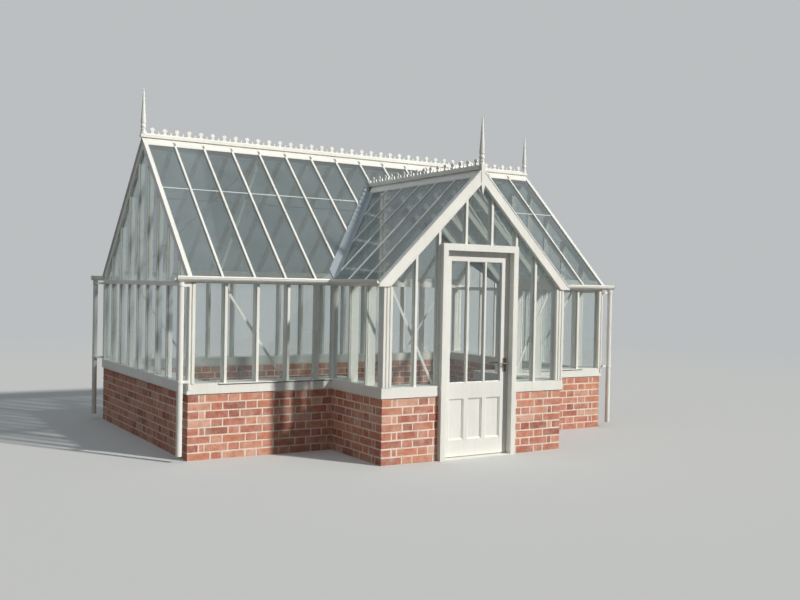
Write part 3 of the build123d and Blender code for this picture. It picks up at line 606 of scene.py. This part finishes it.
shape = bmesh.new()
for wall_y, facing in ((front_y, near), (back_y, away)):
    inner_edge = outer_cover + cover_gap
    for near_edge, far_edge, low in (
        (0, outer_cover, sill_high.z - cover_lap), (inner_edge, inner_edge + inner_cover, sill_high.z),
    ):
        cover(shape, -half_house + near_edge, -half_house + far_edge, wall_y, facing, low, cover_rise)
        cover(shape, half_house - far_edge, half_house - near_edge, wall_y, facing, low, cover_rise)
for step in range(porch_covers):
    edge = half_porch - step * (porch_cover + porch_cover_gap)
    cover(shape, -edge, -edge + porch_cover, gable_y, near, sill_high.z, porch_cover_rise)
    cover(shape, edge - porch_cover, edge, gable_y, near, sill_high.z, porch_cover_rise)
worked_piece("post_covers", shape, white_coat, "house")

seal_and_shade_line = coated(
    "black_seal_and_shade_line", coat=(0.045, 0.047, 0.05, 1), grime=(0.16, 0.15, 0.13, 1), grime_share=0.4, sheen=0.62,
)
rail_start = bar_low.x - rail_lead
rail_runs = (
    (rail_start, porch_sill_low.x, sill_low.y), (porch_sill_high.x, -rail_start, sill_low.y),
    (-rail_start, rail_start, sill_high.y),
)
# The seal is a black rubber strip that also serves as a painted shadow line under the drip rail.
for name, out, high, drop, material in (
    ("drip_rails", rail_out, rail_high, 0.0, white_coat),
    ("rail_seals_and_shade_lines", seal_and_shade_out, seal_and_shade_high, rail_high, seal_and_shade_line),
):
    shape = bmesh.new()
    section = [(0, -drop - high), (out, -drop - high), (out, -drop), (0, -drop)]
    for start_x, stop_x, wall_y in rail_runs:
        run = [Vector((start_x, wall_y, sill_high.z)), Vector((stop_x, wall_y, sill_high.z))]
        moulded(shape, section, run, upright)
    worked_piece(name, shape, material, "house")

# Roof screws
# Small stainless pan-head screws that hold the roof bars' caps down, one every 400 mm,
# with their heads on the caps.
screw_radius, screw_high = 0.005, 0.003
screw_sides = 8
first_screw, screw_pitch = 0.15, 0.40
valley_clear = 0.09
roof_pitch, gable_pitch = math.radians(43.5), math.radians(45)
eave_level = 1.667
bar_cap = 0.012
bay = 0.3125
bays = round(2 * half_house / bay)
ridge_y = (front_y + back_y) / 2
steel = coated(
    "hinge_steel", coat=(0.50, 0.50, 0.49, 1), grime=(0.28, 0.26, 0.23, 1), grime_share=0.3, sheen=0.30,
)

set_screws, given, result = geometry_tree("set_screws", {
    "Radius": "Float", "High": "Float", "Tilt": "Vector", "Steel": "Material",
})
head = add(set_screws, "GeometryNodeMeshCylinder", {
    "Vertices": screw_sides, "Radius": given["Radius"], "Depth": given["High"],
})
lean = add(set_screws, "FunctionNodeEulerToRotation", {0: given["Tilt"]})
stood = add(set_screws, "GeometryNodeInstanceOnPoints", {
    "Points": given["Geometry"], "Instance": head.outputs["Mesh"], "Rotation": lean.outputs[0],
})
real_and_clad(set_screws, stood.outputs[0], given["Steel"], result)
slope_run = (ridge_y - front_y) / math.cos(roof_pitch)
head_up = (bar_cap + screw_high / 2) / math.cos(roof_pitch)
for name, towards in (("front_screws", 1), ("back_screws", -1)):
    places = []
    for step in range(1, bays):
        x = -half_house + bay * step
        for along in range(int(slope_run / screw_pitch)):
            up_slope = first_screw + along * screw_pitch
            back = up_slope * math.cos(roof_pitch)
            z = eave_level + up_slope * math.sin(roof_pitch) + head_up
            over_porch = towards == 1 and abs(x) < half_porch + valley_clear - (z - eave_level)
            if not over_porch:
                places.append((x, ridge_y - towards * (ridge_y - front_y - back), z))
    screw_points = bpy.data.meshes.new(name)
    screw_points.from_pydata(places, [], [])
    screw_mesh = grown(name, screw_points, set_screws, {
        "Radius": screw_radius, "High": screw_high, "Tilt": (towards * roof_pitch, 0, 0), "Steel": steel,
    })
    made_object(name, screw_mesh, "house")

# Bar end shade strips
# Dark grey strips on the ridge board beside each roof bar's lapped end: painted shade for the shaded side
# of each bar's end.
shade_strip_wide, shade_strip_long, shade_strip_high, shade_strip_eased = 0.014, 0.042, 0.005, 0.001
board_edge, lap_top, shade_strip_lap = 0.078, 0.012, 0.004
# A dark grey coat for the strips, which is painted shade beside each bar's end.
bar_end_shade = coated(
    "bar_end_shade", coat=(0.25, 0.255, 0.245, 1), grime=(0.31, 0.30, 0.28, 1), grime_share=0.4, sheen=0.55,
)
shape = bmesh.new()
for facing_y in (-1, 1):
    climb = Vector((0, -facing_y * math.cos(roof_pitch), math.sin(roof_pitch)))
    outward = Vector((0, facing_y * math.sin(roof_pitch), math.cos(roof_pitch)))
    foot_y = ridge_y + facing_y * (board_edge - shade_strip_lap)
    foot_z = eave_level + (ridge_y - front_y - board_edge + shade_strip_lap) * math.tan(roof_pitch)
    for step in range(1, bays):
        x = -half_house + bay * step + facing_y * shade_strip_wide / 2
        foot = Vector((x, foot_y, foot_z)) + outward * lap_top
        path = [foot, foot + climb * shade_strip_long]
        moulded(shape, strip_section(shade_strip_wide, shade_strip_high, shade_strip_eased), path, outward)
worked_piece("bar_end_shade_strips", shape, bar_end_shade, "house")

# Cresting
# Cast aluminium cresting along both ridges: a row of knobbed stems that rise from a low
# scalloped strip, cast in lengths and screwed to the ridge caps.
crest_pitch = 0.131
crest_thick = 0.008
ridge_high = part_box("ridge")[1]
porch_ridge_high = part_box("porch_ridge")[1]
crest_low, crest_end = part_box("cresting")
porch_stop = front_y + (porch_ridge_high.z - eave_level) / math.tan(roof_pitch)


def arc(x, z, wide, high, start, stop, steps):
    """Points of an elliptical arc about a centre, its angles in degrees."""
    angles = [math.radians(start + (stop - start) * step / steps) for step in range(steps + 1)]
    return [(x + wide * math.cos(angle), z + high * math.sin(angle)) for angle in angles]


half_pitch = crest_pitch / 2
right_half = [(half_pitch, 0.0), (half_pitch, 0.047), (half_pitch - 0.004, 0.041)]
right_half += arc(half_pitch - 0.016, 0.026, 0.010, 0.012, 0, -90, 3)
right_half += arc(0.032, 0.034, 0.020, 0.020, 270, 200, 4)
right_half += arc(0.0, 0.056, 0.0245, 0.019, -55, 78, 8)
right_half += [(0.0, 0.080)]
left_half = [(-x, z) for x, z in reversed(right_half[:-1])]
shape = bmesh.new()
spine = [Vector((0, crest_thick / 2, 0)), Vector((0, -crest_thick / 2, 0))]
moulded(shape, [(-x, z) for x, z in right_half + left_half], spine, upright)
crest_unit = worked_mesh("crest_unit", shape, white_coat)

cast_crest, given, result = geometry_tree("cast_crest", {
    "First": "Vector", "Step": "Vector", "Count": "Int", "Turn": "Float", "Stretch": "Float",
    "Coat": "Material",
})
row = add(cast_crest, "GeometryNodeMeshLine", {
    "Count": given["Count"], "Start Location": given["First"], "Offset": given["Step"],
}, mode="OFFSET")
heading = add(cast_crest, "ShaderNodeCombineXYZ", {"Z": given["Turn"]})
heading = add(cast_crest, "FunctionNodeEulerToRotation", {0: heading.outputs[0]})
fitted = add(cast_crest, "ShaderNodeCombineXYZ", {"X": given["Stretch"], "Y": 1.0, "Z": 1.0})
stood = add(cast_crest, "GeometryNodeInstanceOnPoints", {
    "Points": row.outputs[0], "Instance": given["Geometry"], "Rotation": heading.outputs[0],
    "Scale": fitted.outputs[0],
})
real_and_clad(cast_crest, stood.outputs[0], given["Coat"], result)
for name, start, stop in (
    ("ridge_cresting", (crest_low.x, ridge_y, ridge_high.z), (crest_end.x, ridge_y, ridge_high.z)),
    ("porch_cresting", (0, crest_low.y, porch_ridge_high.z), (0, porch_stop, porch_ridge_high.z)),
):
    start = Vector(start)
    run = Vector(stop) - start
    count = round(run.length / crest_pitch)
    step = run / count
    crest_mesh = grown(name, crest_unit, cast_crest, {
        "First": start + step / 2, "Step": step, "Count": count, "Turn": math.atan2(run.y, run.x),
        "Stretch": step.length / crest_pitch, "Coat": white_coat,
    })
    crest = made_object(name, crest_mesh, "house")
    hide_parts("cresting")

# Finials
# Turned aluminium finials: a block, a ball between two collars and a long tapered spike,
# one on each end of the ridge, and one over the porch gable with a pointed pendant.
finial_profile = (
    (0, 30), (28, 28), (33, 27), (35, 23), (43, 27), (50, 27), (55, 21), (62, 22), (74, 27.5),
    (84, 27.5), (98, 26), (106, 20), (110, 20), (114, 26), (122, 27), (310, 15.5), (458, 5.5),
    (468, 3), (472, 0.8),
)
pendant_width, pendant_point, pendant_over = 0.042, 0.100, 0.012
turned_sides = 20


def turned(shape, centre, axis, profile, sides=turned_sides):
    """Turns a profile of places along an axis and radii, in millimetres, and closes its ends."""
    beside = axis.orthogonal().normalized()
    beyond = axis.cross(beside)
    rings = []
    for along, radius in profile:
        middle = centre + axis * (along / 1000)
        ring = []
        for step in range(sides):
            angle = step * math.tau / sides
            out = beside * math.cos(angle) + beyond * math.sin(angle)
            ring.append(shape.verts.new(middle + out * (radius / 1000)))
        rings.append(ring)
    for ring, following in zip(rings, rings[1:]):
        for step in range(sides):
            after = (step + 1) % sides
            shape.faces.new((ring[step], ring[after], following[after], following[step]))
    shape.faces.new(rings[0][::-1])
    shape.faces.new(rings[-1])


end_finial_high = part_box("ridge_finials")[1]
gable_finial_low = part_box("porch_finial")[0]
finial_half = finial_profile[0][1] / 1000
shape = bmesh.new()
for side in (-1, 1):
    foot = Vector((side * (end_finial_high.x - finial_half), ridge_y, ridge_high.z))
    turned(shape, foot, upright, finial_profile)
pair = worked_piece("turned_finials", shape, white_coat, "house")
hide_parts("ridge_finials")
shape = bmesh.new()
foot = Vector((0, gable_finial_low.y + finial_half, porch_ridge_high.z))
turned(shape, foot, upright, finial_profile)
half_width = pendant_width / 2
pendant_top = porch_ridge_high.z + pendant_over
shoulder = gable_finial_low.z + pendant_point
outline = [
    (-half_width, pendant_top), (-half_width, shoulder), (0, gable_finial_low.z),
    (half_width, shoulder), (half_width, pendant_top),
]
board = [Vector((0, gable_finial_low.y, 0)), Vector((0, gable_y, 0))]
moulded(shape, outline, board, upright)
gable_finial = worked_piece("gable_finial", shape, white_coat, "house")
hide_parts("porch_finial")

# Gutters
# Extruded aluminium gutters with a bead along the lip and a curved face, mitred where
# the porch meets the house and closed by end caps.
cap_thick = 0.004
gutter_low, gutter_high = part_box("gutters")
gutter_face = (
    (77, 55), (78, 53), (78, 42), (75, 39), (73, 36), (75, 33), (74, 29), (69, 22), (62, 15),
    (52, 8), (41, 4), (30, 1.5), (18, 0),
)
gutter_inside = (
    (3, 0), (0, 3), (0, 33), (4, 33), (4, 5), (18, 4), (30, 5.5), (40, 8), (50, 12), (59, 18),
    (65, 25), (70, 31), (70, 41), (72, 55),
)
cap_inside = ((0, 0), (0, 18), (36, 18), (70, 55))
gutter_profile = [(out / 1000, up / 1000) for out, up in gutter_face + gutter_inside]
cap_profile = [(out / 1000, up / 1000) for out, up in gutter_face + cap_inside]


def gutter_run(shape, places):
    """A gutter along its path at the gutters' height, with an end cap inside each end."""
    path = [Vector((x, y, gutter_low.z)) for x, y in places]
    moulded(shape, gutter_profile, path, upright)
    first_cap = (path[1] - path[0]).normalized() * cap_thick
    last_cap = (path[-2] - path[-1]).normalized() * cap_thick
    moulded(shape, cap_profile, [path[0], path[0] + first_cap], upright)
    moulded(shape, cap_profile, [path[-1] + last_cap, path[-1]], upright)


shape = bmesh.new()
gutter_run(shape, ((-gutter_high.x, front_y), (-half_porch, front_y), (-half_porch, gable_y)))
gutter_run(shape, ((half_porch, gable_y), (half_porch, front_y), (gutter_high.x, front_y)))
gutter_run(shape, ((gutter_high.x, back_y), (-gutter_high.x, back_y)))
gutters = worked_piece("moulded_gutters", shape, white_coat, "house")
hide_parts("gutters", "porch_gutters")

# Pipe collars
# Cast aluminium collars round the downpipes, in the frame's coat, one over each bracket
# that clips a pipe to its corner post.
pipe_low, pipe_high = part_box("downpipes")
pipe_radius = 27
pipe_inset = pipe_radius / 1000
collar_radius = pipe_radius + 4
collar_heights = (0.705, 1.565)
collar = ((0, pipe_radius), (2, collar_radius), (22, collar_radius), (24, pipe_radius))
shape = bmesh.new()
for side in (-1, 1):
    for pipe_y in (pipe_low.y + pipe_inset, pipe_high.y - pipe_inset):
        for z in collar_heights:
            place = Vector((side * (pipe_high.x - pipe_inset), pipe_y, z))
            turned(shape, place, upright, collar)
worked_piece("pipe_collars", shape, white_coat, "house")

# Barge mouldings
# A bead along the lower edge of the two barge boards and a fillet along their upper edge,
# mitred at the peak, where they run under the pendant.
barge_low, barge_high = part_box("barge_boards")
barge_plumb = 0.144
bead_width, fillet_width = 0.018, 0.012
bead_up, bead_foot, fillet_down = 0.002, 0.014, 0.003
barge_rise, barge_eased = 0.005, 0.002
slant = math.cos(gable_pitch)
barge_peak = eave_level + half_porch * math.tan(gable_pitch) + bar_cap / slant
shape = bmesh.new()
for width, peak_z, low in (
    (bead_width, barge_peak - barge_plumb + (bead_width + bead_up) / slant, barge_low.z + bead_foot),
    (fillet_width, barge_peak - fillet_down, barge_peak - barge_high.x),
):
    half_run = peak_z - low
    path = [Vector((x, barge_low.y, z)) for x, z in ((-half_run, low), (0, peak_z), (half_run, low))]
    moulded(shape, strip_section(width, barge_rise, barge_eased), path, near)
worked_piece("barge_mouldings", shape, white_coat, "house")

# Valley flashing
# Folded aluminium sheet laid under both roofs' edges where they meet, in a pale grey-blue
# coat that catches the sky.
valley_coat = coated(
    "valley_coat", coat=(0.32, 0.375, 0.415, 1), grime=(0.26, 0.285, 0.31, 1), grime_share=0.35, sheen=0.30,
)
finish(("valleys",), valley_coat)

# Glass
# Clear horticultural panes, dry-glazed into the bars. They tint what is behind them a
# little, mirror the sky at a low angle, and carry a thin film of dust.
wall_tint = (0.945, 0.96, 0.955, 1)
roof_tint = (0.66, 0.70, 0.695, 1)
mirror_tint, mirror_rough = (0.86, 0.91, 0.95, 1), 0.03
dust_colour = (0.72, 0.77, 0.79, 1)
wall_dust, roof_dust, least_dust = 0.04, 0.12, 0.6
glass_index = 1.5


def pane(name, tint, dust_share):
    """A clear pane that lets lamps through, with a mirror at low angles and some dust."""
    material, tree, output = finish_tree(name)
    place = add(tree, "ShaderNodeTexCoord").outputs["Object"]
    ripple = add(tree, "ShaderNodeTexNoise", {"Vector": place, "Scale": 2.6, "Detail": 1.0})
    bend = add(tree, "ShaderNodeBump", {
        "Height": ripple.outputs["Fac"], "Strength": 0.015, "Distance": 0.02,
    })
    clear = add(tree, "ShaderNodeBsdfTransparent", {"Color": tint})
    mirror = add(tree, "ShaderNodeBsdfAnisotropic", {
        "Color": mirror_tint, "Roughness": mirror_rough, "Normal": bend.outputs["Normal"],
    })
    behind = add(tree, "ShaderNodeNewGeometry").outputs["Backfacing"]
    index = add(tree, "ShaderNodeMapRange", {
        "Value": behind, "To Min": glass_index, "To Max": 1 / glass_index,
    }).outputs["Result"]
    facing = add(tree, "ShaderNodeFresnel", {"IOR": index, "Normal": bend.outputs["Normal"]})
    glazed = add(tree, "ShaderNodeMixShader", {
        0: facing.outputs[0], 1: clear.outputs[0], 2: mirror.outputs[0],
    })
    film = add(tree, "ShaderNodeTexNoise", {
        "Vector": place, "Scale": 2.4, "Detail": 7.0, "Roughness": 0.62,
    })
    film_share = add(tree, "ShaderNodeMapRange", {
        "Value": film.outputs["Fac"], "From Min": 0.35, "From Max": 0.75,
        "To Min": dust_share * least_dust, "To Max": dust_share,
    }).outputs["Result"]
    dust = add(tree, "ShaderNodeBsdfDiffuse", {"Color": dust_colour})
    dusty = add(tree, "ShaderNodeMixShader", {0: film_share, 1: glazed.outputs[0], 2: dust.outputs[0]})
    tree.links.new(dusty.outputs[0], output.inputs["Surface"])
    return material


wall_pane = pane("wall_pane", wall_tint, wall_dust)
roof_pane = pane("roof_pane", roof_tint, roof_dust)
finish((
    "front_wall_glass", "back_wall_glass", "end_wall_glass", "porch_wall_glass", "door_glass",
), wall_pane)
finish(("front_roof_glass", "back_roof_glass", "porch_roof_glass"), roof_pane)

# Glass laps
# The roof panes come in two lengths. The upper one laps over the lower one, and its
# ground edge shows as a pale line across each bay at one height.
lap_z = 2.53
lap_wide, lap_thick = 0.012, 0.003
lap_side = 0.016
lap_clear = 0.10
lap_edge = coated(
    "ground_edge", coat=(0.62, 0.69, 0.68, 1), grime=(0.40, 0.42, 0.40, 1), grime_share=0.4, sheen=0.45,
)
shape = bmesh.new()
for step in range(bays):
    x0, x1 = -half_house + bay * step, -half_house + bay * (step + 1)
    for facing_y, edge_y in ((-1, front_y), (1, back_y)):
        valley_x = half_porch - (lap_z - eave_level) + lap_clear if facing_y == -1 else 0
        if min(abs(x0), abs(x1)) < valley_x:
            continue
        y = edge_y - facing_y * (lap_z - eave_level) / math.tan(roof_pitch)
        outward = Vector((0, facing_y * math.sin(roof_pitch), math.cos(roof_pitch)))
        ends = [Vector((x0 + lap_side, y, lap_z)), Vector((x1 - lap_side, y, lap_z))]
        if facing_y == 1:
            ends.reverse()
        moulded(shape, [(0, 0), (lap_wide, 0), (lap_wide, lap_thick), (0, lap_thick)], ends, outward)
worked_piece("glass_laps", shape, lap_edge, "house")

# Door
# A coated leaf whose lower panels are sunk behind bevelled mouldings and whose lights are
# held by slim beads, with plain steel butt hinges on the inside.
leaf_low, leaf_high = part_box("door_leaf")
panel_low, panel_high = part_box("door_panels")
light_low, light_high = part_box("door_glass")
muntin, door_bar = 0.048, 0.020
door_parts = 3
moulding_section = [(0, 0), (0.014, 0), (0.010, 0.007), (0.004, 0.011), (0, 0.012)]
bead_section = [(0, 0), (0.007, 0), (0.006, 0.005), (0.002, 0.008), (0, 0.008)]


def framed(shape, section, x0, x1, z0, z1, y, facing):
    """Runs a section round the inside of a rectangular opening, mitred at its corners."""
    corners = [Vector((x0, y, z0)), Vector((x1, y, z0)), Vector((x1, y, z1)), Vector((x0, y, z1))]
    if facing.y < 0:
        corners.reverse()
    moulded(shape, section, corners, facing, closed=True)


door_coat = coated(
    "door_coat", coat=(0.83, 0.825, 0.785, 1), grime=(0.42, 0.40, 0.34, 1), grime_share=0.18, sheen=0.30,
)
finish(("door_leaf", "door_panels"), door_coat)
finish(("frame_hinges", "door_hinges"), steel)
shape = bmesh.new()
for bar, section, low, high in (
    (muntin, moulding_section, panel_low, panel_high), (door_bar, bead_section, light_low, light_high),
):
    opening = (high.x - low.x - bar * (door_parts - 1)) / door_parts
    for step in range(door_parts):
        x0 = low.x + step * (opening + bar)
        for y, facing in ((low.y, near), (high.y, away)):
            framed(shape, section, x0, x0 + opening, low.z, high.z, y, facing)
worked_piece("door_mouldings", shape, door_coat, "door")

# Lever handle
# A dark bronze lever on both sides of the leaf, turned at its neck and rounded at its
# grip's end, on long plates with eased edges that two screws hold.
bronze = coated(
    "dark_bronze", coat=(0.155, 0.130, 0.092, 1), grime=(0.26, 0.21, 0.14, 1), grime_share=0.5, sheen=0.30,
)
lever_low, lever_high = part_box("door_lever")
plate_low, plate_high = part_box("handle_plates")
lever_z = (lever_low.z + lever_high.z) / 2
hub, spindle_radius, spindle_back = 9, 5, 8
spindle_x = lever_high.x - hub / 1000
spindle_long = (lever_high.y - lever_low.y) * 1000 - 2 * spindle_back
grip_in = 0.010
grip_sides = 14
grip_end = (spindle_x - lever_low.x) * 1000
grip_profile = (
    (0, 7.5), (14, 6.2), (40, 5.6), (80, 6.4),
    (grip_end - 8, 7.0), (grip_end - 3, 6.0), (grip_end - 0.5, 3.0),
)
neck_profile = ((0, 6), (2, 8), (8, 8.5), (20, 8.5), (26, 6.5), (38, 6.5), (44, 9), (48, 9))
shape = bmesh.new()
spindle_end = Vector((spindle_x, lever_low.y + spindle_back / 1000, lever_z))
turned(shape, spindle_end, away, ((0, spindle_radius), (spindle_long, spindle_radius)))
for y, inward in ((lever_low.y, away), (lever_high.y, near)):
    turned(shape, Vector((spindle_x, y, lever_z)), inward, neck_profile)
    turned(shape, Vector((spindle_x, y + inward.y * grip_in, lever_z)), left, grip_profile, grip_sides)
lever = worked_piece("turned_lever", shape, bronze, "lever")
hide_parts("door_lever")
shape = bmesh.new()
plate_thick, plate_eased, plate_screw_in = 0.006, 0.0025, 0.014
plate_wide = plate_high.x - plate_low.x
plate_middle = (plate_low.x + plate_high.x) / 2
plate_screw = ((0, 3.5), (0.8, 3.5), (1.4, 2.2))
plate_screw_sides = 10
for y, facing, start_x in ((leaf_low.y, near, plate_low.x), (leaf_high.y, away, plate_high.x)):
    run = [Vector((start_x, y, plate_low.z)), Vector((start_x, y, plate_high.z))]
    moulded(shape, strip_section(plate_wide, plate_thick, plate_eased), run, facing)
    for z in (plate_low.z + plate_screw_in, plate_high.z - plate_screw_in):
        place = Vector((plate_middle, y + facing.y * plate_thick, z))
        turned(shape, place, facing, plate_screw, plate_screw_sides)
plates = worked_piece("eased_plates", shape, bronze, "door")
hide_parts("handle_plates")
